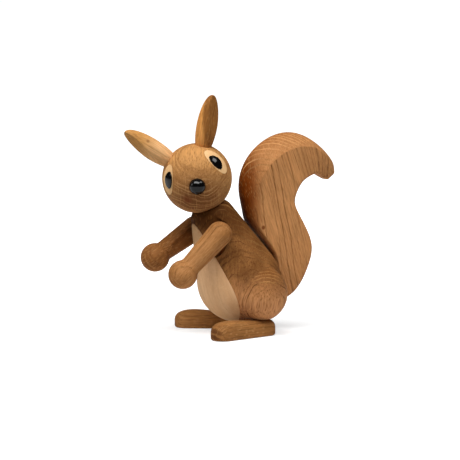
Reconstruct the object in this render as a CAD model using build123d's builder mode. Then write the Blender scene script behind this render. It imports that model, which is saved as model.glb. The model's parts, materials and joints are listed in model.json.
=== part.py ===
"""Turned and carved wooden squirrel that stands on two feet, with a head, arms and feet that turn.

The squirrel faces -Y and its left side is +X. Millimetres and degrees throughout.
"""

import os
from math import cos, radians, sin, sqrt, tan

from build123d import *

os.makedirs("parts", exist_ok=True)

# Trunk: a cone on a round belly, turned about an axis that leans forward
BELLY_RADIUS = 16.8
BELLY_CLEARANCE = 4.3  # above the floor
BELLY_HEIGHT = BELLY_RADIUS + BELLY_CLEARANCE
TRUNK_LEAN = 23.5
TRUNK_TAPER = 16.4  # half angle of the cone
SHOULDER_UP = 30.3  # end of the cone, along the trunk from the belly's centre
NECK_RIM_UP = 33.2
NECK_RIM_RADIUS = 6.6
BELLY_INLAY_DEPTH = 8.0
SEAM_FORWARD = BELLY_RADIUS - BELLY_INLAY_DEPTH  # glue line of the pale belly, from the trunk's axis

# Haunches: balls carved on the sides of the trunk
HAUNCH_RADIUS = BELLY_RADIUS * 2 / 3
HAUNCH_PROUD = 4.4  # beyond the belly, sideways
HAUNCH_SPREAD = BELLY_RADIUS + HAUNCH_PROUD - HAUNCH_RADIUS
HAUNCH_BACK = 4.6
HAUNCH_FLAT = 1.1  # cut off below, where the foot turns
HAUNCH_BLEND = 1.4

# Head
HEAD_RADIUS = 13.9
HEAD_TURN = 65.3  # to the animal's left
EYE_SIDEWAYS = 45.0
EYE_ABOVE_NOSE = 31.7
EYE_SLANT = 23.0  # foot of the eye leans outwards
EYE_HALF_HEIGHT = 3.5
EYE_OUTER_BULGE = 2.8
EYE_INNER_BULGE = 1.7
EYE_CORNER_ROUND = 1.0
EYE_DEPTH = 2.0
EYE_PROUD = 0.5
EYE_DOME_RADIUS = 9.0
SURROUND_HALF_HEIGHT = 6.0
SURROUND_HALF_WIDTH = 3.5
SURROUND_OUTWARD = 1.5
SURROUND_DEPTH = 3.0
NOSE_RADIUS = 3.25
NOSE_SUNK = 0.6
NOSE_PEG_RADIUS = 1.3
NOSE_PEG_LENGTH = 4.0

# Ears
EAR_LENGTH = 20.4
EAR_HALF_WIDTH = 4.15
EAR_HALF_THICKNESS = 3.9
EAR_WIDEST_UP = 7.5
LEFT_EAR_ANGLE = 32.0
RIGHT_EAR_ANGLE = 35.0
EAR_FACET_TURN = 48.0  # from the front towards the outside
EAR_FACET_TILT = 12.0
EAR_FACET_AT_TIP = 0.5

# Arms
ARM_LENGTH = 21.6  # shoulder dowel to the middle of the paw
ARM_SHOULDER_RADIUS = 5.0
ARM_WRIST_RADIUS = 4.0
ARM_WRIST_ROUND = 3.0
PAW_RADIUS = 5.75
ARM_FLAT = 3.7  # axis of the arm to its flat inner face
SHOULDER_PROUD = 1.9  # axis of the arm outside the cone
SHOULDER_DOWEL_UP = 24.2
SHOULDER_FORWARD = 4.6
ARM_TOE_IN = 9.0
LEFT_ARM_ANGLE = 46.2  # below level
RIGHT_ARM_ANGLE = 29.4
SHOULDER_RECESS_GAP = 0.35
ARM_RAISED_ANGLE = 30.0  # room for the arm above level
ARM_SWING_ANGLE = 90.0
ARM_SWING_REACH = 5.0

# Feet
FOOT_TOE = 26.2  # dowel to the tip of the toe
FOOT_HEEL = 5.0
FOOT_TOE_RADIUS = 4.7
FOOT_HEEL_RADIUS = 4.1
FOOT_PAD_HEIGHT = 6.6
FOOT_PAD_FRONT = 5.0
FOOT_INSTEP_HEIGHT = 7.1
FOOT_INSTEP_FRONT = 14.0
FOOT_TOE_HEIGHT = 4.9
FOOT_ROUND = 3.3
FOOT_SOLE_ROUND = 1.1
FOOT_OUTSIDE_HAUNCH = 2.0  # dowel of the foot from the haunch's centre
FOOT_BEHIND_HAUNCH = 0.8
FOOT_SPREAD = HAUNCH_SPREAD + FOOT_OUTSIDE_HAUNCH
FOOT_BACK = HAUNCH_BACK + FOOT_BEHIND_HAUNCH
LEFT_FOOT_ANGLE = 17.0
RIGHT_FOOT_ANGLE = 29.0
FOOT_SWEEP_RADIUS = 9.0

# Tail: outer and inner outline (back of and above the rump), half thickness, depth of the crown
TAIL_STATIONS = [
    ((-3.7, 1.4), (-3.7, -10.1), 4.0, 1.0),
    ((-1.0, 4.0), (5.3, -6.1), 4.2, 1.0),
    ((-1.9, 7.0), (10.8, 1.4), 4.6, 1.0),
    ((-3.8, 11.4), (13.1, 7.7), 5.0, 1.1),
    ((-10.4, 19.9), (13.0, 15.4), 5.6, 1.6),
    ((-14.3, 26.4), (8.4, 24.7), 6.0, 2.8),
    ((-16.3, 34.5), (5.5, 30.7), 6.5, 4.6),
    ((-15.6, 44.1), (6.3, 35.6), 7.1, 6.6),
    ((-9.0, 53.5), (7.9, 38.6), 7.5, 7.2),
    ((3.8, 58.9), (9.8, 40.3), 7.4, 6.0),
    ((14.5, 55.8), (12.9, 41.7), 6.6, 3.2),
    ((21.6, 49.8), (16.6, 41.9), 4.9, 2.0),
    ((25.2, 42.0), (21.7, 39.2), 2.7, 1.2),
]
TAIL_INNER_ROUND = 1.2
TAIL_CREASE_ANGLE = 35.0  # between a flat side and the crown
TAIL_TIP_ROUND = 1.1

# Dowels
NECK_DOWEL_RADIUS = 2.5
NECK_DOWEL_IN_TORSO = 8.0
NECK_DOWEL_IN_HEAD = 9.0
SHOULDER_DOWEL_RADIUS = 2.0
SHOULDER_DOWEL_IN_ARM = 4.5
SHOULDER_DOWEL_IN_TORSO = 4.8
FOOT_DOWEL_RADIUS = 1.6
FOOT_DOWEL_IN_FOOT = 4.0
FOOT_DOWEL_IN_TORSO = 7.0
EAR_DOWEL_RADIUS = 1.5
EAR_DOWEL_IN_HEAD = 5.0
EAR_DOWEL_IN_EAR = 5.0
TAIL_DOWEL_RADIUS = 1.25
TAIL_DOWEL_IN_TORSO = 6.0
TAIL_DOWEL_IN_TAIL = 3.4
UPPER_TAIL_DOWEL_DROP = 0.2
LOWER_TAIL_DOWEL_DROP = 4.2

# Clearances
SEAT_GAP = 0.12  # faces that rub on each other
TURNING_GAP = 0.05  # around a dowel that turns in its bore
BORE_END_GAP = 0.3

SIDES = {"left": 1, "right": -1}

# Frames: along the trunk, and in the turned head
lean = radians(TRUNK_LEAN)
taper = radians(TRUNK_TAPER)
trunk_up = Vector(0, -sin(lean), cos(lean))
trunk_back = Vector(0, cos(lean), sin(lean))
belly_centre = Vector(0, 0, BELLY_HEIGHT)
trunk_plane = Plane(origin=belly_centre, x_dir=trunk_back, z_dir=(1, 0, 0))

dish_radius = HEAD_RADIUS + SEAT_GAP
head_centre = belly_centre + trunk_up * (NECK_RIM_UP + sqrt(dish_radius**2 - NECK_RIM_RADIUS**2))
head_left = Vector(cos(radians(HEAD_TURN)), 0, 0) + trunk_back * sin(radians(HEAD_TURN))
head_back = trunk_up.cross(head_left)
head_place = Plane(origin=head_centre, x_dir=head_back, z_dir=trunk_up).location


def head_direction(left, back, up):
    """A direction in the head's own frame, as it is turned."""
    return head_left * left + head_back * back + trunk_up * up


def rod_plane(start, along):
    """A plane at start whose normal runs along a rod."""
    return Plane(origin=start, z_dir=along)


def cone_radius(up):
    """Radius of the trunk's cone, some way up the trunk from the belly's centre."""
    return BELLY_RADIUS * cos(taper) - (up - BELLY_RADIUS * sin(taper)) * tan(taper)


def shoulder_frame(side):
    """Pivot on the arm's axis and the outward direction of the shoulder dowel."""
    pivot = belly_centre + trunk_up * SHOULDER_DOWEL_UP - trunk_back * SHOULDER_FORWARD
    pivot += Vector(side * (cone_radius(SHOULDER_DOWEL_UP) + SHOULDER_PROUD), 0, 0)
    outward = Vector(side * cos(radians(ARM_TOE_IN)), -sin(radians(ARM_TOE_IN)), 0)
    return pivot, outward


def arm_forward(side):
    """Level direction in which an arm reaches forward."""
    return Vector(-side * sin(radians(ARM_TOE_IN)), -cos(radians(ARM_TOE_IN)), 0)


def foot_axis(side):
    """Where the upright foot dowel meets the floor."""
    return Vector(side * FOOT_SPREAD, FOOT_BACK, 0)


def eye_plane(side):
    """A plane at the head's centre that faces along an eye, with x towards the outside of the head."""
    across = radians(EYE_SIDEWAYS)
    above = radians(EYE_ABOVE_NOSE)
    slant = radians(EYE_SLANT)
    gaze = head_direction(side * sin(across), -cos(across) * cos(above), cos(across) * sin(above))
    outward = head_direction(side * cos(slant), 0, sin(slant))
    outward -= gaze * outward.dot(gaze)
    return Plane(origin=head_centre, x_dir=outward, z_dir=gaze)


def ear_frame(side):
    """The axis of an ear, out from the head's centre, and the direction across it to the outside."""
    spread = radians(LEFT_EAR_ANGLE if side > 0 else RIGHT_EAR_ANGLE)
    along = head_direction(side * sin(spread), 0, cos(spread))
    outside = head_direction(side * cos(spread), 0, -sin(spread))
    return along, outside


# Outer shape of torso and belly together
with BuildPart() as trunk:
    with BuildSketch(trunk_plane):
        with BuildLine():
            belly = CenterArc((0, 0), BELLY_RADIUS, -90, 90 + TRUNK_TAPER)
            cone = Line(belly @ 1, (cone_radius(SHOULDER_UP), SHOULDER_UP))
            shoulder = TangentArc(cone @ 1, (NECK_RIM_RADIUS, NECK_RIM_UP), tangent=cone % 1)
            Polyline(shoulder @ 1, (0, NECK_RIM_UP), belly @ 0)
        make_face()
    revolve(axis=Axis(belly_centre, trunk_up))
    for side in SIDES.values():
        haunch_height = FOOT_PAD_HEIGHT + HAUNCH_RADIUS - HAUNCH_FLAT
        with Locations((side * HAUNCH_SPREAD, HAUNCH_BACK, haunch_height)):
            Sphere(HAUNCH_RADIUS)
        fillet(trunk.edges(Select.NEW), radius=HAUNCH_BLEND)
    for side in SIDES.values():
        with Locations(foot_axis(side)):
            Cylinder(
                FOOT_SWEEP_RADIUS,
                FOOT_PAD_HEIGHT + SEAT_GAP,
                align=(Align.CENTER, Align.CENTER, Align.MIN),
                mode=Mode.SUBTRACT,
            )
        pivot, outward = shoulder_frame(side)
        seat = pivot - outward * (ARM_FLAT + SEAT_GAP)
        raised = -side * ARM_RAISED_ANGLE
        with BuildSketch(Plane(origin=seat, x_dir=arm_forward(side), z_dir=outward)):
            with BuildLine():
                swing = CenterArc((0, 0), ARM_SWING_REACH, raised, side * ARM_SWING_ANGLE)
                Polyline(swing @ 1, (0, 0), swing @ 0)
            make_face()
            offset(amount=ARM_SHOULDER_RADIUS + SHOULDER_RECESS_GAP)
        extrude(amount=2 * ARM_SHOULDER_RADIUS, mode=Mode.SUBTRACT)
    with Locations(head_place):
        Sphere(dish_radius, mode=Mode.SUBTRACT)

seam_plane = Plane(origin=belly_centre - trunk_back * SEAM_FORWARD, x_dir=(1, 0, 0), z_dir=trunk_back)

with BuildPart() as belly_inlay:
    add(trunk.part)
    split(bisect_by=seam_plane, keep=Keep.BOTTOM)

# Dowels
dowels = {}

neck_start = head_centre - trunk_up * (dish_radius + NECK_DOWEL_IN_TORSO)
neck_length = NECK_DOWEL_IN_TORSO + SEAT_GAP + NECK_DOWEL_IN_HEAD
with BuildPart() as neck_dowel:
    with BuildSketch(rod_plane(neck_start, trunk_up)):
        Circle(NECK_DOWEL_RADIUS)
    extrude(amount=neck_length)
dowels["neck_dowel"] = neck_dowel

for name, side in SIDES.items():
    pivot, outward = shoulder_frame(side)
    inner_face = pivot - outward * ARM_FLAT
    with BuildPart() as shoulder_dowel:
        shoulder_dowel_start = inner_face - outward * (SEAT_GAP + SHOULDER_DOWEL_IN_TORSO)
        with BuildSketch(rod_plane(shoulder_dowel_start, outward)):
            Circle(SHOULDER_DOWEL_RADIUS)
        extrude(amount=SHOULDER_DOWEL_IN_TORSO + SEAT_GAP + SHOULDER_DOWEL_IN_ARM)
    dowels[f"{name}_shoulder_dowel"] = shoulder_dowel

    with BuildPart() as foot_dowel:
        with BuildSketch(Plane(origin=foot_axis(side)).offset(FOOT_PAD_HEIGHT - FOOT_DOWEL_IN_FOOT)):
            Circle(FOOT_DOWEL_RADIUS)
        extrude(amount=FOOT_DOWEL_IN_FOOT + SEAT_GAP + FOOT_DOWEL_IN_TORSO)
    dowels[f"{name}_foot_dowel"] = foot_dowel

    ear_along = ear_frame(side)[0]
    with BuildPart() as ear_dowel:
        ear_dowel_start = head_centre + ear_along * (HEAD_RADIUS - EAR_DOWEL_IN_HEAD)
        with BuildSketch(rod_plane(ear_dowel_start, ear_along)):
            Circle(EAR_DOWEL_RADIUS)
        extrude(amount=EAR_DOWEL_IN_HEAD + EAR_DOWEL_IN_EAR)
    dowels[f"{name}_ear_dowel"] = ear_dowel

for name, drop in {"upper": UPPER_TAIL_DOWEL_DROP, "lower": LOWER_TAIL_DOWEL_DROP}.items():
    rump = sqrt(BELLY_RADIUS**2 - drop**2)
    with BuildPart() as tail_dowel:
        tail_dowel_start = belly_centre + Vector(0, rump - TAIL_DOWEL_IN_TORSO, -drop)
        with BuildSketch(rod_plane(tail_dowel_start, (0, 1, 0))):
            Circle(TAIL_DOWEL_RADIUS)
        extrude(amount=TAIL_DOWEL_IN_TORSO + TAIL_DOWEL_IN_TAIL)
    dowels[f"{name}_tail_dowel"] = tail_dowel

# Torso: the dark part of the trunk, with its bores and shoulder recesses
with BuildPart() as torso:
    add(trunk.part)
    split(bisect_by=seam_plane, keep=Keep.TOP)
    for name, side in SIDES.items():
        pivot, outward = shoulder_frame(side)
        seat = pivot - outward * (ARM_FLAT + SEAT_GAP)
        with BuildSketch(rod_plane(seat, outward)):
            Circle(SHOULDER_DOWEL_RADIUS + TURNING_GAP)
        extrude(amount=-(SHOULDER_DOWEL_IN_TORSO + BORE_END_GAP), mode=Mode.SUBTRACT)
        add(dowels[f"{name}_foot_dowel"].part, mode=Mode.SUBTRACT)
    for name in ("neck_dowel", "upper_tail_dowel", "lower_tail_dowel"):
        add(dowels[name].part, mode=Mode.SUBTRACT)

# Eyes, their surrounds and the nose
face = {}
for name, side in SIDES.items():
    facing = eye_plane(side)
    with BuildPart() as eye:
        with BuildSketch(facing.offset(HEAD_RADIUS - EYE_DEPTH)) as almond:
            with BuildLine():
                outer = ThreePointArc((0, -EYE_HALF_HEIGHT), (EYE_OUTER_BULGE, 0), (0, EYE_HALF_HEIGHT))
                ThreePointArc(outer @ 1, (-EYE_INNER_BULGE, 0), outer @ 0)
            make_face()
            fillet(almond.vertices(), radius=EYE_CORNER_ROUND)
        extrude(amount=2 * EYE_DEPTH)
        with Locations(facing.offset(HEAD_RADIUS + EYE_PROUD - EYE_DOME_RADIUS).origin):
            Sphere(EYE_DOME_RADIUS, mode=Mode.INTERSECT)
    face[f"{name}_eye"] = eye

    with BuildPart() as surround:
        with BuildSketch(facing.offset(HEAD_RADIUS - SURROUND_DEPTH)):
            with Locations((SURROUND_OUTWARD, 0)):
                Ellipse(SURROUND_HALF_WIDTH, SURROUND_HALF_HEIGHT)
        extrude(amount=2 * SURROUND_DEPTH)
        with Locations(head_place):
            Sphere(HEAD_RADIUS, mode=Mode.INTERSECT)
        add(eye.part, mode=Mode.SUBTRACT)
    face[f"{name}_eye_surround"] = surround

nose_direction = head_direction(0, -1, 0)
nose_centre = head_centre + nose_direction * (HEAD_RADIUS - NOSE_SUNK)
with BuildPart() as nose:
    with Locations(nose_centre):
        Sphere(NOSE_RADIUS)
    with BuildSketch(rod_plane(nose_centre, nose_direction)):
        Circle(NOSE_PEG_RADIUS)
    extrude(amount=-(NOSE_RADIUS + NOSE_PEG_LENGTH))
face["nose"] = nose

with BuildPart() as head:
    with Locations(head_place):
        Sphere(HEAD_RADIUS)
    for piece in face.values():
        add(piece.part, mode=Mode.SUBTRACT)
    for name in SIDES:
        add(dowels[f"{name}_ear_dowel"].part, mode=Mode.SUBTRACT)
    with BuildSketch(rod_plane(head_centre - trunk_up * dish_radius, trunk_up)):
        Circle(NECK_DOWEL_RADIUS + TURNING_GAP)
    extrude(amount=SEAT_GAP + NECK_DOWEL_IN_HEAD + BORE_END_GAP, mode=Mode.SUBTRACT)

# Ears: turned spindles, hollowed at the foot to sit on the head, with a flat facet outside in front
ears = {}
spindle = scale(
    Sphere(1, mode=Mode.PRIVATE),
    by=(EAR_HALF_WIDTH, EAR_HALF_THICKNESS, EAR_LENGTH - EAR_WIDEST_UP),
    mode=Mode.PRIVATE,
)
for name, side in SIDES.items():
    along, outside = ear_frame(side)
    ear_foot = head_centre + along * HEAD_RADIUS
    facet_turn = radians(EAR_FACET_TURN)
    facet_tilt = radians(EAR_FACET_TILT)
    facet_out = head_direction(0, -cos(facet_turn), 0) + outside * sin(facet_turn)
    facet_plane = Plane(
        origin=ear_foot + along * EAR_LENGTH + facet_out * EAR_FACET_AT_TIP,
        z_dir=facet_out * cos(facet_tilt) + along * sin(facet_tilt),
    )
    ear_middle = Plane(origin=ear_foot + along * EAR_WIDEST_UP, x_dir=outside, z_dir=along)
    with BuildPart() as ear:
        add(ear_middle.location * spindle)
        split(bisect_by=facet_plane, keep=Keep.BOTTOM)
        with Locations(head_place):
            Sphere(HEAD_RADIUS, mode=Mode.SUBTRACT)
        add(dowels[f"{name}_ear_dowel"].part, mode=Mode.SUBTRACT)
    ears[f"{name}_ear"] = ear

# Arms: turned, with a ball for a paw and a flat where they rub on the torso
arms = {}
paw_start = ARM_LENGTH - sqrt(PAW_RADIUS**2 - ARM_WRIST_RADIUS**2)
for name, drop in {"left": LEFT_ARM_ANGLE, "right": RIGHT_ARM_ANGLE}.items():
    side = SIDES[name]
    pivot, outward = shoulder_frame(side)
    forward = arm_forward(side)
    along = forward * cos(radians(drop)) - Vector(0, 0, 1) * sin(radians(drop))
    arm_plane = Plane(origin=pivot, x_dir=outward, z_dir=outward.cross(along))
    with BuildPart() as arm:
        with BuildSketch(arm_plane) as arm_profile:
            with BuildLine():
                dome = CenterArc((0, 0), ARM_SHOULDER_RADIUS, -90, 90)
                shaft = Line(dome @ 1, (ARM_WRIST_RADIUS, paw_start))
                paw = ThreePointArc(shaft @ 1, (PAW_RADIUS, ARM_LENGTH), (0, ARM_LENGTH + PAW_RADIUS))
                Line(paw @ 1, dome @ 0)
            make_face()
            wrist = arm_profile.vertices().sort_by_distance((ARM_WRIST_RADIUS, paw_start))[0]
            fillet(wrist, radius=ARM_WRIST_ROUND)
        revolve(axis=Axis(pivot, along))
        with BuildSketch(rod_plane(pivot - outward * ARM_FLAT, outward)):
            Circle(paw_start - ARM_WRIST_ROUND)
        extrude(amount=-ARM_SHOULDER_RADIUS, mode=Mode.SUBTRACT)
        add(dowels[f"{name}_shoulder_dowel"].part, mode=Mode.SUBTRACT)
    arms[f"{name}_arm"] = arm

# Feet: flat soles, tops rounded over, with a level pad under the haunch
feet = {}
for name, splay in {"left": LEFT_FOOT_ANGLE, "right": RIGHT_FOOT_ANGLE}.items():
    side = SIDES[name]
    turn = radians(splay)
    toe = Vector(side * sin(turn), -cos(turn), 0)
    across = Vector(cos(turn), side * sin(turn), 0)
    with BuildPart() as foot:
        with BuildSketch(Plane(origin=foot_axis(side), x_dir=across, z_dir=(0, 0, 1))):
            with Locations((0, FOOT_HEEL - FOOT_HEEL_RADIUS)):
                Circle(FOOT_HEEL_RADIUS)
            with Locations((0, FOOT_TOE_RADIUS - FOOT_TOE)):
                Circle(FOOT_TOE_RADIUS)
            make_hull()
        extrude(amount=2 * FOOT_INSTEP_HEIGHT)
        with BuildSketch(Plane(origin=foot_axis(side), x_dir=toe, z_dir=toe.cross(Vector(0, 0, 1)))):
            with BuildLine():
                top = Spline(
                    (FOOT_PAD_FRONT, FOOT_PAD_HEIGHT),
                    (FOOT_INSTEP_FRONT, FOOT_INSTEP_HEIGHT),
                    (FOOT_TOE, FOOT_TOE_HEIGHT),
                    tangents=((1, 0), (1, -1)),
                )
                Polyline(
                    top @ 1,
                    (FOOT_TOE + FOOT_TOE_RADIUS, 0),
                    (-2 * FOOT_HEEL, 0),
                    (-2 * FOOT_HEEL, FOOT_PAD_HEIGHT),
                    top @ 0,
                )
            make_face()
        extrude(amount=2 * FOOT_TOE_RADIUS, both=True, mode=Mode.INTERSECT)
        upper_edges = foot.edges().filter_by(lambda edge: edge.center().Z > FOOT_TOE_HEIGHT / 2)
        fillet(upper_edges.filter_by(Axis.Z, reverse=True), radius=FOOT_ROUND)
        fillet(foot.edges().group_by(Axis.Z)[0], radius=FOOT_SOLE_ROUND)
        with BuildSketch(Plane(origin=foot_axis(side)).offset(FOOT_PAD_HEIGHT)):
            Circle(FOOT_DOWEL_RADIUS + TURNING_GAP)
        extrude(amount=-(FOOT_DOWEL_IN_FOOT + BORE_END_GAP), mode=Mode.SUBTRACT)
    feet[f"{name}_foot"] = foot

# Tail: flat sides, a rounded outer face and a root cut to the rump
with BuildPart() as tail:
    rump = belly_centre + Vector(0, BELLY_RADIUS, 0)
    crease = radians(TAIL_CREASE_ANGLE)
    for outer_at, inner_at, half, crown in TAIL_STATIONS:
        outer_point = rump + Vector(0, *outer_at)
        inner_point = rump + Vector(0, *inner_at)
        outwards = outer_point - inner_point
        depth = outwards.length
        along = Vector(1, 0, 0).cross(outwards)
        with BuildSketch(Plane(origin=inner_point, x_dir=(1, 0, 0), z_dir=along)):
            with BuildLine():
                inner_edge = Line((TAIL_INNER_ROUND - half, 0), (half - TAIL_INNER_ROUND, 0))
                near_round = TangentArc(inner_edge @ 1, (half, TAIL_INNER_ROUND), tangent=(1, 0))
                near_side = Line(near_round @ 1, (half, depth - crown))
                top_round = Spline(
                    near_side @ 1,
                    (0, depth),
                    (-half, depth - crown),
                    tangents=[(-sin(crease), cos(crease)), (-sin(crease), -cos(crease))],
                )
                far_side = Line(top_round @ 1, (-half, TAIL_INNER_ROUND))
                TangentArc(far_side @ 1, inner_edge @ 0, tangent=(0, -1))
            make_face()
    loft()
    fillet(tail.faces().sort_by(Axis.Y)[-1].edges(), radius=TAIL_TIP_ROUND)
    add(trunk.part, mode=Mode.SUBTRACT)
    for name in ("upper_tail_dowel", "lower_tail_dowel"):
        add(dowels[name].part, mode=Mode.SUBTRACT)

pieces = {"torso": torso, "belly_inlay": belly_inlay, "head": head, "tail": tail}
for group in (face, ears, arms, feet, dowels):
    pieces.update(group)

# The origin is on the floor, under the middle of the figure's box
box = Compound([piece.part for piece in pieces.values()]).bounding_box()
to_origin = Location((-box.center().X, -box.center().Y, -box.min.Z))
for name, piece in pieces.items():
    placed = piece.part.moved(to_origin)
    placed.label = name
    export_step(placed, f"parts/{name}.step")

print("box", box.size)
print("origin moved by", to_origin.position)
print("neck", to_origin.position + head_centre, trunk_up)
for name, side in SIDES.items():
    pivot, outward = shoulder_frame(side)
    print(name, "shoulder", to_origin.position + pivot, outward)
    print(name, "foot dowel", to_origin.position + foot_axis(side))
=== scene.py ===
"""Looks of the wooden squirrel: oiled oak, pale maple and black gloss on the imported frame."""

import json
from math import cos, radians, sin

import bpy
from mathutils import Matrix, Vector


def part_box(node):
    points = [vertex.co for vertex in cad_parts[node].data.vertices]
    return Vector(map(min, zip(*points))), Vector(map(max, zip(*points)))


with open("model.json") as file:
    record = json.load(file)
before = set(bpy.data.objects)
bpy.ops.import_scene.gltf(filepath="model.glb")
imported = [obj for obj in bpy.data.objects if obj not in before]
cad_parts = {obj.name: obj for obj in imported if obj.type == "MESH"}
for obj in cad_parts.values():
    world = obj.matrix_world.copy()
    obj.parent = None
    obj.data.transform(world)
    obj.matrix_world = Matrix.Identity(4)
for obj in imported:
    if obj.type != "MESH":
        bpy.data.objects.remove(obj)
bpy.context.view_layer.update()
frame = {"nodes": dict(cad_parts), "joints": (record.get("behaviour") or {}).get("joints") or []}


# TORSO
# One block of ring-porous oak: the body was turned as a cone on a ball, the haunches were carved
# beside it, and the whole was sanded and rubbed with oil. The years lie almost flat to its sides.

def linear(code):
    """An sRGB hex colour as the linear colour that a shader takes."""
    srgb = [int(code[i:i + 2], 16) / 255 for i in (1, 3, 5)]
    return [*(c / 12.92 if c <= 0.04045 else ((c + 0.055) / 1.055) ** 2.4 for c in srgb), 1.0]


def add_node(tree, kind, inputs, out=0, stops=(), **settings):
    """Adds a shader node with its settings, sets or links its inputs, and gives back one output.
    Stops are the places and colours of a colour ramp."""
    made = tree.nodes.new(kind)
    for key, value in settings.items():
        setattr(made, key, value)
    for key, value in inputs.items():
        if isinstance(value, bpy.types.NodeSocket):
            tree.links.new(value, made.inputs[key])
        else:
            made.inputs[key].default_value = value
    for number, (place, code) in enumerate(stops):
        band = made.color_ramp.elements
        stop = band[number] if number < 2 else band.new(place)
        stop.position, stop.color = place, linear(code)
    return made.outputs[out]


# Oak under oil: plain warm brown, in which each year opens with a thin dark line of pores.
# Pores are 0.3 mm wide on the real thing; they are drawn at 0.4 mm, so that they show.
# Line widths and sway are in years, pore and ray sizes in mm, and shares say how strong a mark is.
OAK = dict(
    kind="oiled oak",
    body=("#A06C3E", "#B9824F"),
    line="#4A280E", line_share=0.80, line_width=0.16,
    end_line="#C8935A", end_line_share=0.50, end_line_width=0.40,
    pore="#4A280C", pore_size=(0.4, 4.0), pore_share=0.50, pore_spread=0.25,
    ray="#C8955F", ray_size=(7.0, 0.5, 2.2), ray_share=0.25,
    end="#75451F", end_share=0.75, end_on=(0.30, 0.55), flat_on=(0.76, 0.92),
    sway=4.0, streak=0.24, roughness=(0.55, 0.70), gloss=0.05, relief=0.35,
)
MM = 1000.0  # millimetres in a metre
EDGE = 0.0004  # softness of a sanded edge, in metres
PORE_DEPTH = 0.00015  # in metres

# Sizes of the slow patterns in mm, twice across the fibres and once along them
SWAY_CELL = (13.0, 13.0, 60.0)
CLOUD_CELL = (7.0, 7.0, 26.0)
FIBRE_CELL = (0.6, 0.6, 12.0)  # bundles of fibres: single ones are too fine to show
NEXT_PIECE = Vector((3.7, 1.7, 5.3))  # from one piece's place in these patterns to the next one's

# Where a noise or a cell's distance turns from one tone to the other
CLOUD_SPAN = (0.30, 0.70)
FIBRE_SPAN = (0.25, 0.75)
BREAK_SPAN = (0.30, 0.65)
RAY_SPAN = (0.15, 0.40)
PORE_SPAN = (0.18, 0.38)

WEATHER_PACE, WEATHER = 0.6, 1.1  # how soon good years follow bad ones, and how far they shift a line
LINE_CORE = 0.4  # share of a line's width that has its full tone
FAINT_YEAR = 0.3  # strength of the faintest year's line
BROKEN = 0.65  # what is left of a line where the fibres break it
DRAWN_OUT = 0.1  # what is left of a line where the surface lies flat on a year
CROWDED = (0.08, 0.28)  # part of a year in which its pores thin out
FLAT_CROWD = 0.8  # crowd of pores where the surface lies flat on a year
FIBRE_HEIGHT = 0.5  # of a fibre, as a share of a pore's depth
KNOT, KNOT_CORE = "#6A3214", 0.4
MIXED_COLOUR = dict(out=2, data_type="RGBA")


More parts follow.
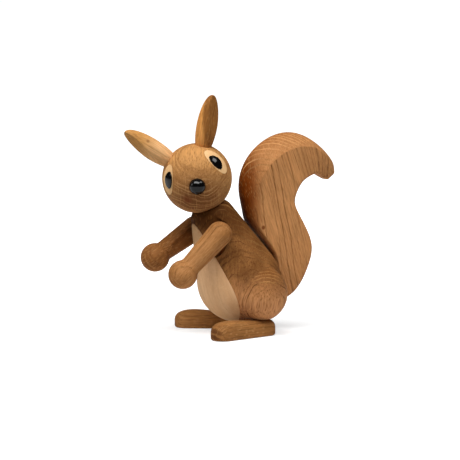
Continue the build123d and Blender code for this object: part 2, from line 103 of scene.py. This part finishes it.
def oiled_wood(name, wood, grain, bark, heart, ring, seed, shade_and_tone=(), knots=()):
    """Makes a CAD node of solid wood. Grain and bark are the directions along the fibres and out of
    the tree; heart is how far the tree's middle is from the piece's own, ring a year's width, in mm.
    Sides of the piece painted darker or lighter, most of them painted shade or painted light, are given as
    direction, mm from the piece's middle where the tone starts and where it is full, colour. Knots are a
    place and a size in mm, and a share."""
    grain = Vector(grain).normalized()
    bark = Vector(bark)
    bark = (bark - grain * bark.dot(grain)).normalized()
    turn = Matrix((bark, grain.cross(bark), grain))
    low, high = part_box(name)
    middle = (low + high) / 2 * MM
    material = bpy.data.materials.new(f"{wood['kind']}, {name}")
    material.use_nodes = True
    tree = material.node_tree
    shader = tree.nodes["Principled BSDF"]

    # Place in the tree, in mm: out from its middle, round it, and up along the grain
    place = add_node(tree, "ShaderNodeTexCoord", {}, out="Object")
    trunk = add_node(tree, "ShaderNodeMapping", {
        "Vector": place, "Scale": (MM, MM, MM), "Rotation": turn.to_euler(),
        "Location": Vector((heart, 0, 0)) - turn @ middle})
    shift = NEXT_PIECE * seed

    # Years: distance from the tree's middle, swayed by how it grew; good years are wide, bad ones narrow
    slow = add_node(tree, "ShaderNodeMapping", {
        "Vector": trunk, "Scale": [1 / size for size in SWAY_CELL], "Location": shift})
    sway = add_node(tree, "ShaderNodeTexNoise", {"Vector": slow, "Scale": 1.0, "Detail": 4.0})
    flat = add_node(tree, "ShaderNodeVectorMath", {0: trunk, 1: (1, 1, 0)}, operation="MULTIPLY")
    radius = add_node(tree, "ShaderNodeVectorMath", {0: flat}, out="Value", operation="LENGTH")
    swayed = add_node(tree, "ShaderNodeMath", {
        0: sway, 1: wood["sway"] * ring, 2: radius}, operation="MULTIPLY_ADD")
    count = add_node(tree, "ShaderNodeMath", {0: swayed, 1: ring}, operation="DIVIDE")
    weather = add_node(tree, "ShaderNodeTexNoise", {
        "W": count, "Scale": WEATHER_PACE, "Detail": 1.0}, noise_dimensions="1D")
    year = add_node(tree, "ShaderNodeMath", {0: weather, 1: WEATHER, 2: count}, operation="MULTIPLY_ADD")
    season = add_node(tree, "ShaderNodeMath", {0: year}, operation="FRACT")
    number = add_node(tree, "ShaderNodeMath", {0: year}, operation="FLOOR")
    vigour = add_node(tree, "ShaderNodeTexWhiteNoise", {"W": number}, noise_dimensions="1D")

    # Body of the wood, with slow changes of tone and fine fibres along the grain
    cloudy = add_node(tree, "ShaderNodeMapping", {
        "Vector": trunk, "Scale": [1 / size for size in CLOUD_CELL], "Location": shift})
    cloud = add_node(tree, "ShaderNodeTexNoise", {"Vector": cloudy, "Scale": 1.0, "Detail": 3.0})
    colour = add_node(tree, "ShaderNodeValToRGB", {0: cloud}, stops=list(zip(CLOUD_SPAN, wood["body"])))
    fibres = add_node(tree, "ShaderNodeMapping", {
        "Vector": trunk, "Scale": [1 / size for size in FIBRE_CELL], "Location": shift})
    streak = add_node(tree, "ShaderNodeTexNoise", {
        "Vector": fibres, "Scale": 1.0, "Detail": 3.0, "Roughness": 0.6})
    # Sides painted darker or lighter: most of them are painted shade or painted light falling on the piece
    for side, start, full, side_colour in shade_and_tone:
        side = Vector(side).normalized()
        far = add_node(tree, "ShaderNodeVectorMath", {
            0: place, 1: side * MM}, out="Value", operation="DOT_PRODUCT")
        share = add_node(tree, "ShaderNodeMapRange", {
            0: far, 1: start + side.dot(middle), 2: full + side.dot(middle)},
            interpolation_type="SMOOTHSTEP")
        colour = add_node(tree, "ShaderNodeMix", {0: share, 6: colour, 7: linear(side_colour)}, **MIXED_COLOUR)
    tone = add_node(tree, "ShaderNodeMapRange", {
        0: streak, 1: FIBRE_SPAN[0], 2: FIBRE_SPAN[1], 3: 1.0 - wood["streak"], 4: 1.0 + wood["streak"]})
    colour = add_node(tree, "ShaderNodeMix", {
        0: 1.0, 6: colour, 7: tone}, blend_type="MULTIPLY", **MIXED_COLOUR)

    # End grain drinks more oil, so it is darker where the surface cuts across the fibres
    facing = add_node(tree, "ShaderNodeTexCoord", {}, out="Normal")
    cut = add_node(tree, "ShaderNodeVectorMath", {
        0: facing, 1: grain}, out="Value", operation="DOT_PRODUCT")
    cut = add_node(tree, "ShaderNodeMath", {0: cut, 1: cut}, operation="MULTIPLY")
    share = add_node(tree, "ShaderNodeMath", {0: cut, 1: wood["end_share"]}, operation="MULTIPLY")
    colour = add_node(tree, "ShaderNodeMix", {
        0: share, 6: colour, 7: linear(wood["end"])}, **MIXED_COLOUR)

    # The line that opens a year: dark along the fibres and pale on end grain, strong in some years and
    # faint in others, broken by the fibres, and drawn out to nothing where the surface lies flat on a year
    flat_on = add_node(tree, "ShaderNodeVectorMath", {
        0: facing, 1: bark}, out="Value", operation="DOT_PRODUCT")
    flat_on = add_node(tree, "ShaderNodeMath", {0: flat_on, 1: flat_on}, operation="MULTIPLY")
    drawn_out = add_node(tree, "ShaderNodeMapRange", {
        0: flat_on, 1: wood["flat_on"][0], 2: wood["flat_on"][1], 3: 1.0, 4: DRAWN_OUT})
    end_on = add_node(tree, "ShaderNodeMapRange", {0: cut, 1: wood["end_on"][0], 2: wood["end_on"][1]})
    width = add_node(tree, "ShaderNodeMapRange", {
        0: end_on, 3: wood["line_width"], 4: wood["end_line_width"]})
    fade = add_node(tree, "ShaderNodeMath", {0: season, 1: width}, operation="DIVIDE")
    opening = add_node(tree, "ShaderNodeMapRange", {0: fade, 1: LINE_CORE, 2: 1.0, 3: 1.0, 4: 0.0})
    strength = add_node(tree, "ShaderNodeMapRange", {0: vigour, 3: FAINT_YEAR, 4: 1.0})
    opening = add_node(tree, "ShaderNodeMath", {0: opening, 1: strength}, operation="MULTIPLY")
    broken = add_node(tree, "ShaderNodeMapRange", {
        0: streak, 1: BREAK_SPAN[0], 2: BREAK_SPAN[1], 3: 1.0, 4: BROKEN})
    opening = add_node(tree, "ShaderNodeMath", {0: opening, 1: broken}, operation="MULTIPLY")
    opening = add_node(tree, "ShaderNodeMath", {0: opening, 1: drawn_out}, operation="MULTIPLY")
    line = add_node(tree, "ShaderNodeMix", {
        0: end_on, 6: linear(wood["line"]), 7: linear(wood["end_line"])}, **MIXED_COLOUR)
    share = add_node(tree, "ShaderNodeMapRange", {
        0: end_on, 3: wood["line_share"], 4: wood["end_line_share"]})
    share = add_node(tree, "ShaderNodeMath", {0: opening, 1: share}, operation="MULTIPLY")
    colour = add_node(tree, "ShaderNodeMix", {0: share, 6: colour, 7: line}, **MIXED_COLOUR)

    # Rays: thin sheets from the tree's middle outwards, pale lines or flecks where the surface cuts them
    sheets = add_node(tree, "ShaderNodeMapping", {
        "Vector": trunk, "Scale": [1 / size for size in wood["ray_size"]], "Location": shift})
    ray = add_node(tree, "ShaderNodeTexVoronoi", {"Vector": sheets, "Scale": 1.0})
    share = add_node(tree, "ShaderNodeMapRange", {
        0: ray, 1: RAY_SPAN[0], 2: RAY_SPAN[1], 3: wood["ray_share"], 4: 0.0})
    colour = add_node(tree, "ShaderNodeMix", {
        0: share, 6: colour, 7: linear(wood["ray"])}, **MIXED_COLOUR)

    # Pores: long tubes, most of them in the line that opens a year
    wide, long = wood["pore_size"]
    tubes = add_node(tree, "ShaderNodeMapping", {
        "Vector": trunk, "Scale": (1 / wide, 1 / wide, 1 / long), "Location": shift})
    pore = add_node(tree, "ShaderNodeTexVoronoi", {"Vector": tubes, "Scale": 1.0})
    pore = add_node(tree, "ShaderNodeMapRange", {0: pore, 1: PORE_SPAN[0], 2: PORE_SPAN[1], 3: 1.0, 4: 0.0})
    crowd = add_node(tree, "ShaderNodeMapRange", {
        0: season, 1: CROWDED[0], 2: CROWDED[1], 3: 1.0, 4: wood["pore_spread"]})
    crowd = add_node(tree, "ShaderNodeMix", {0: drawn_out, 2: FLAT_CROWD, 3: crowd})
    pore = add_node(tree, "ShaderNodeMath", {0: pore, 1: crowd}, operation="MULTIPLY")
    share = add_node(tree, "ShaderNodeMath", {0: pore, 1: wood["pore_share"]}, operation="MULTIPLY")
    colour = add_node(tree, "ShaderNodeMix", {
        0: share, 6: colour, 7: linear(wood["pore"])}, **MIXED_COLOUR)

    # Knots: a dark eye where a twig once grew, or the faint smudge of one below the surface
    for spot, size, share in knots:
        gap = add_node(tree, "ShaderNodeVectorMath", {
            0: place, 1: Vector(spot) / MM}, out="Value", operation="DISTANCE")
        eye = add_node(tree, "ShaderNodeMapRange", {
            0: gap, 1: KNOT_CORE * size / MM, 2: size / MM, 3: share, 4: 0.0},
            interpolation_type="SMOOTHSTEP")
        colour = add_node(tree, "ShaderNodeMix", {0: eye, 6: colour, 7: linear(KNOT)}, **MIXED_COLOUR)

    # Oil leaves a satin skin; open pores and fibres break its sheen, and edges are sanded soft
    smooth, rough = wood["roughness"]
    height = add_node(tree, "ShaderNodeMath", {0: streak, 1: FIBRE_HEIGHT}, operation="MULTIPLY")
    height = add_node(tree, "ShaderNodeMath", {0: height, 1: pore}, operation="SUBTRACT")
    edge = add_node(tree, "ShaderNodeBevel", {"Radius": EDGE}, samples=4)
    bump = add_node(tree, "ShaderNodeBump", {
        "Strength": wood["relief"], "Distance": PORE_DEPTH, "Height": height, "Normal": edge})
    satin = add_node(tree, "ShaderNodeMapRange", {0: streak, 3: smooth, 4: rough})
    tree.links.new(colour, shader.inputs["Base Color"])
    tree.links.new(satin, shader.inputs["Roughness"])
    tree.links.new(bump, shader.inputs["Normal"])
    shader.inputs["Specular IOR Level"].default_value = wood["gloss"]
    piece = frame["nodes"][name]
    piece.data.materials.clear()
    piece.data.materials.append(material)


TORSO_OAK = dict(
    OAK, body=("#5F3A1A", "#98673A"), line="#2E1604", line_share=1.0, line_width=0.30, streak=0.34,
    end="#6E421C", end_on=(0.40, 0.65), flat_on=(0.55, 0.78), end_line="#BE8950", end_line_share=0.85,
    ray="#9C6A38", pore_size=(0.5, 5.0), pore_share=0.85, pore_spread=0.5)
# The torso is painted lighter towards the bottom, a painted light thrown up from the floor, and darker
# towards the top, a painted shade under the head
oiled_wood("torso", TORSO_OAK, grain=(0.34, 0.0, 0.94), bark=(0.94, 0.0, -0.34), heart=60.0, ring=1.7,
           seed=1, shade_and_tone=[((0.0, 0.0, -1.0), 0.0, 18.0, "#B27C50"), ((0.0, 0.0, 1.0), 6.0, 18.0, "#4E2D11")])


# BELLY
# A slab of pale maple glued to the front of the torso before turning, so its face runs on flush
# with the oak. Maple has fine, closed pores: soft, wide bands and hardly a line.

MAPLE = dict(
    kind="oiled maple",
    body=("#C3976B", "#D2AA80"),
    line="#B0845A", line_share=0.35, line_width=0.5,
    end_line="#C39A70", end_line_share=0.2, end_line_width=0.5,
    pore="#A97E57", pore_size=(0.4, 2.5), pore_share=0.15, pore_spread=1.0,
    ray="#D9B78F", ray_size=(3.0, 0.4, 1.2), ray_share=0.15,
    end="#B98D63", end_share=0.35, end_on=(0.30, 0.55), flat_on=(0.76, 0.92),
    sway=4.0, streak=0.06, roughness=(0.52, 0.62), gloss=0.05, relief=0.12,
)
oiled_wood("belly_inlay", MAPLE, grain=(0.0, -0.35, 0.94), bark=(0.75, 0.6, 0.2), heart=26.0, ring=3.2,
           seed=2)


# TAIL
# Sawn from an oak plank to an S, its outer face rounded over, and glued and dowelled to the rump.
# The plank's grain leans forward by about 18 degrees, and its years lie slanted through its thickness.

TAIL_OAK = dict(
    OAK, body=("#B27B4B", "#C08855"), line="#42220C", line_share=0.75, line_width=0.22, streak=0.3,
    end="#824A1D", end_share=0.85, end_on=(0.15, 0.40), end_line="#DCA266", end_line_share=1.0,
    end_line_width=0.3, sway=1.6)
# The tail is painted darker where its crown faces the head and torso, a painted shade; it is also darker
# towards its bottom end
oiled_wood("tail", TAIL_OAK, grain=(0.0, -0.317, 0.948), bark=(-0.866, 0.474, 0.158), heart=110.0,
           ring=1.35, seed=3, knots=[((7.8, 10.2, 42.5), 1.1, 0.8)],
           shade_and_tone=[((0.0, 0.0, -1.0), 10.0, 32.0, "#9C6A40"), ((0.0, -1.0, 0.0), 12.0, 19.0, "#6E3104")])


# HEAD
# A turned oak ball that turns on the neck dowel. Its fibres run out through the muzzle, so the
# forehead shows short pores and the chin dark end grain, with its years in pale arcs.

HEAD_OAK = dict(
    OAK, body=("#9E6C3C", "#C4915A"), line="#6E4220", line_share=0.75, line_width=0.45,
    end="#613719", end_share=0.9, end_line="#C9955F", end_line_share=0.9, end_line_width=0.40,
    ray="#C08C58", ray_size=(9.0, 0.5, 2.2), ray_share=0.45, pore_size=(0.45, 3.0), pore_share=0.55,
    pore_spread=0.8)
# The head is painted lighter towards its top, a painted light from above
oiled_wood("head", HEAD_OAK, grain=(0.70, -0.35, -0.62), bark=(-0.56, 0.25, -0.78), heart=45.0, ring=1.8,
           seed=4, shade_and_tone=[((0.3, -0.2, 1.0), 3.0, 11.0, "#BC8850")],
           knots=[((10.7, -24.1, 55.3), 2.8, 0.6)])


# EYE SURROUNDS
# Maple plugs let into the head and turned flush with it.
# Their wood is yellower than the belly's.

EYE_MAPLE = dict(MAPLE, body=("#DCAE78", "#E8C08C"), line="#C89A64", ray="#EBC798")
for name in ("left_eye_surround", "right_eye_surround"):
    oiled_wood(name, EYE_MAPLE, grain=(0.1, -0.3, 0.95), bark=(0.9, 0.4, 0.0), heart=25.0, ring=2.0, seed=5)


# EYES AND NOSE
# Polished black beads: two almond pieces let into the surrounds and a ball on a peg for the nose.
# Cast acrylic has a deep, even gloss, with only the faintest haze.

HAZE = 900.0  # patches in a metre, about 1 mm each
POLISH = (0.06, 0.14)  # roughness of the clear and of the hazy patches
BEAD_IOR = 1.36  # clean acrylic has 1.49; these beads reflect a little less
acrylic = bpy.data.materials.new("polished black acrylic")
acrylic.use_nodes = True
tree = acrylic.node_tree
shader = tree.nodes["Principled BSDF"]
place = add_node(tree, "ShaderNodeTexCoord", {}, out="Object")
haze = add_node(tree, "ShaderNodeTexNoise", {"Vector": place, "Scale": HAZE, "Detail": 3.0})
tone = add_node(tree, "ShaderNodeValToRGB", {0: haze}, stops=[(0.3, "#040404"), (0.8, "#0A0909")])
polish = add_node(tree, "ShaderNodeMapRange", {0: haze, 3: POLISH[0], 4: POLISH[1]})
tree.links.new(tone, shader.inputs["Base Color"])
tree.links.new(polish, shader.inputs["Roughness"])
shader.inputs["IOR"].default_value = BEAD_IOR
for name in ("left_eye", "right_eye", "nose"):
    bead = frame["nodes"][name]
    bead.data.materials.clear()
    bead.data.materials.append(acrylic)


# EARS
# Oak spindles with one flat facet each, hollowed at the foot and glued to the head over a dowel.
# The grain runs along each ear.

LEFT_EAR_OAK = dict(OAK, body=("#D28F4A", "#E4A55F"), line="#6E4018", line_share=0.6)
RIGHT_EAR_OAK = dict(
    OAK, body=("#CE9C66", "#DEAE7A"), line="#A06C38", line_share=0.5, end="#B07840", pore="#8A5A2C")
SHADED_FACET_SIDE = (0.90, 0.44, 0.0)  # the way the left ear's facet looks, the side that is painted darker as painted shade
EAR_TREE = dict(bark=(0.6, 0.7, 0.3), heart=60.0, ring=1.6)
head_middle = sum(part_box("head"), Vector()) / 2
left_along = sum(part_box("left_ear"), Vector()) / 2 - head_middle
right_along = sum(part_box("right_ear"), Vector()) / 2 - head_middle
# The left ear's facet is painted darker, a painted shade on the side turned from the light
oiled_wood("left_ear", LEFT_EAR_OAK, grain=left_along, seed=6,
           shade_and_tone=[(SHADED_FACET_SIDE, 0.4, 2.2, "#93602F")], **EAR_TREE)
# The right ear is painted darker towards its tip and lighter at its root, a painted shade and light
oiled_wood("right_ear", RIGHT_EAR_OAK, grain=right_along, seed=7,
           shade_and_tone=[(right_along, -4.0, 6.0, "#B9864A")], knots=[((-0.4, -36.2, 78.0), 0.9, 0.5)], **EAR_TREE)


# ARMS
# Turned oak arms with a ball for a paw; each swings on a dowel in a flat seat on the torso.
# The grain runs from shoulder to paw.

LEFT_ARM_OAK = dict(OAK, body=("#8E5E31", "#A87648"), line="#5A3214", line_share=0.65, line_width=0.25)
# The far, right arm is painted darker all over, a painted shade from the head and the near arm
SHADED_RIGHT_ARM_OAK = dict(LEFT_ARM_OAK, body=("#784B24", "#906036"))
joints = {joint["name"]: joint for joint in frame["joints"]}
for name, wood, seed in (("left_arm", LEFT_ARM_OAK, 8), ("right_arm", SHADED_RIGHT_ARM_OAK, 9)):
    low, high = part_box(name)
    grain = (low + high) / 2 - Vector(joints[f"{name}_swing"]["pos_m"])
    oiled_wood(name, wood, grain=grain, bark=(0.8, 0.3, 0.5), heart=55.0, ring=1.8, seed=seed)


# FEET
# Oak, sawn flat below and rounded above; each turns on an upright dowel under its haunch.
# The grain runs from heel to toe, so the toe shows end grain.

LEFT_FOOT_OAK = dict(
    OAK, body=("#7E522A", "#946639"), line="#4A280E", line_share=0.75, line_width=0.3,
    end="#4E2C14", end_share=0.9, end_line="#B07A46", end_line_share=0.85, end_line_width=0.45,
    end_on=(0.20, 0.45), pore_spread=0.6)
RIGHT_FOOT_OAK = dict(LEFT_FOOT_OAK, body=("#A8723E", "#BE8852"), end="#6E421E")
for name, wood, seed in (("left_foot", LEFT_FOOT_OAK, 10), ("right_foot", RIGHT_FOOT_OAK, 11)):
    low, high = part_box(name)
    grain = (low + high) / 2 - Vector(joints[f"{name}_turn"]["pos_m"])
    grain.z = 0.0
    oiled_wood(name, wood, grain=grain, bark=(0.3, 0.2, 0.9), heart=40.0, ring=1.6, seed=seed)


# DOWELS
# Plain beech rods inside the joints, glued in one piece and turning or glued in the other.
# They are seen only in the gaps: pale, with short brown flecks.

BEECH = dict(MAPLE, kind="beech", body=("#BE9468", "#CFA67C"), ray="#9C6F48", ray_share=0.3)
for name in frame["nodes"]:
    if name.endswith("dowel"):
        low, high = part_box(name)
        oiled_wood(name, BEECH, grain=high - low, bark=(0.5, 0.5, 0.1), heart=30.0, ring=2.0, seed=12)


# FLOOR
# A small white studio table. The eye sees it white, and it keeps the figure's shadow; gloss shows it
# dimmer, and it throws light back on the wood only near the figure, because a dark room lies past it.

FLOOR_REACH = 40.0
PAPER = "#C8C8C8"
PAPER_NEAR, PAPER_FAR = 0.56, 1.0  # glow of the paper at the figure and far from it
NEAR, FAR = 0.08, 0.30  # from one to the other, in metres
MIRRORED_GLOW = 0.3  # share of that glow in the gloss
TABLE, ROOM = 0.92, 0.10  # what the table throws back, and the dark room past it
TABLE_EDGE, ROOM_EDGE = 0.06, 0.22  # from one to the other, in metres
floor_mesh = bpy.data.meshes.new("studio_floor")
corners = [(x * FLOOR_REACH, y * FLOOR_REACH, 0.0) for x, y in ((-1, -1), (1, -1), (1, 1), (-1, 1))]
floor_mesh.from_pydata(corners, [], [(0, 1, 2, 3)])
floor = bpy.data.objects.new("studio_floor", floor_mesh)
bpy.context.scene.collection.objects.link(floor)
paper = bpy.data.materials.new("white paper")
paper.use_nodes = True
paper.cycles.emission_sampling = "NONE"
tree = paper.node_tree
tree.nodes.remove(tree.nodes["Principled BSDF"])
path = add_node(tree, "ShaderNodeLightPath", {}).node.outputs
mirrored = add_node(tree, "ShaderNodeMath", {
    0: path["Is Glossy Ray"], 1: path["Is Transmission Ray"]}, operation="ADD", use_clamp=True)
seen = add_node(tree, "ShaderNodeMath", {
    0: path["Is Camera Ray"], 1: mirrored}, operation="ADD", use_clamp=True)
shown = add_node(tree, "ShaderNodeMath", {
    0: mirrored, 1: MIRRORED_GLOW, 2: path["Is Camera Ray"]}, operation="MULTIPLY_ADD", use_clamp=True)
place = add_node(tree, "ShaderNodeTexCoord", {}, out="Object")
away = add_node(tree, "ShaderNodeVectorMath", {0: place}, out="Value", operation="LENGTH")
table = add_node(tree, "ShaderNodeMapRange", {0: away, 1: TABLE_EDGE, 2: ROOM_EDGE, 3: TABLE, 4: ROOM})
sheet = add_node(tree, "ShaderNodeMix", {0: seen, 6: table, 7: linear(PAPER)}, **MIXED_COLOUR)
matte = add_node(tree, "ShaderNodeBsdfDiffuse", {"Color": sheet})
white = add_node(tree, "ShaderNodeMapRange", {0: away, 1: NEAR, 2: FAR, 3: PAPER_NEAR, 4: PAPER_FAR})
white = add_node(tree, "ShaderNodeMath", {0: white, 1: shown}, operation="MULTIPLY")
glow = add_node(tree, "ShaderNodeEmission", {"Color": linear("#FFFFFF"), "Strength": white})
both = add_node(tree, "ShaderNodeAddShader", {0: matte, 1: glow})
tree.links.new(both, tree.nodes["Material Output"].inputs["Surface"])
floor_mesh.materials.append(paper)


# LIGHT
# One wide soft box overhead, on the camera's side, and two small ones left and behind on the right
# that put the lights in the eyes, in a dim studio that is brighter overhead.

AIM = Vector((0.0021, -0.0019, 0.0415))


def soft_box(name, azimuth, elevation, distance, size, power):
    """A flat lamp that faces the figure, at an azimuth and elevation in degrees and a distance in metres."""
    lamp = bpy.data.lights.new(name, "AREA")
    lamp.shape, lamp.size, lamp.size_y, lamp.energy = "RECTANGLE", *size, power
    holder = bpy.data.objects.new(name, lamp)
    az, el = radians(azimuth), radians(elevation)
    away = Vector((sin(az) * cos(el), -cos(az) * cos(el), sin(el)))
    holder.location = AIM + away * distance
    holder.rotation_euler = away.to_track_quat("Z", "Y").to_euler()
    bpy.context.scene.collection.objects.link(holder)


soft_box("overhead_bank", azimuth=50.0, elevation=63.0, distance=1.2, size=(1.5, 0.55), power=24.5)
soft_box("left_box", azimuth=-22.0, elevation=20.0, distance=1.5, size=(0.4, 0.4), power=2.0)
soft_box("back_box", azimuth=158.0, elevation=50.0, distance=1.5, size=(0.5, 0.4), power=4.0)

world = bpy.data.worlds.new("studio")
world.use_nodes = True
tree = world.node_tree
sky = add_node(tree, "ShaderNodeTexCoord", {}, out="Generated")
rise = add_node(tree, "ShaderNodeSeparateXYZ", {0: sky}, out="Z")
shade = add_node(tree, "ShaderNodeValToRGB", {0: rise}, stops=[(0.0, "#282828"), (0.9, "#404040")])
tree.links.new(shade, tree.nodes["Background"].inputs["Color"])
bpy.context.scene.world = world


# CAMERA
# A long lens a good arm's length away, low and from the animal's left front.
# It stands a little above the figure and looks at its middle.

AZIMUTH, ELEVATION, DISTANCE = radians(66.0), radians(6.0), 1.12
FIELD = 0.184  # width of the picture at the figure, in metres
camera = bpy.data.cameras.new("camera")
camera.sensor_width = 36.0
camera.lens = camera.sensor_width * DISTANCE / FIELD
camera.clip_end = 100.0
eye = bpy.data.objects.new("camera", camera)
away = Vector((sin(AZIMUTH) * cos(ELEVATION), -cos(AZIMUTH) * cos(ELEVATION), sin(ELEVATION)))
eye.location = AIM + away * DISTANCE
eye.rotation_euler = away.to_track_quat("Z", "Y").to_euler()
bpy.context.scene.collection.objects.link(eye)
bpy.context.scene.camera = eye
bpy.context.scene.view_settings.view_transform = "Standard"
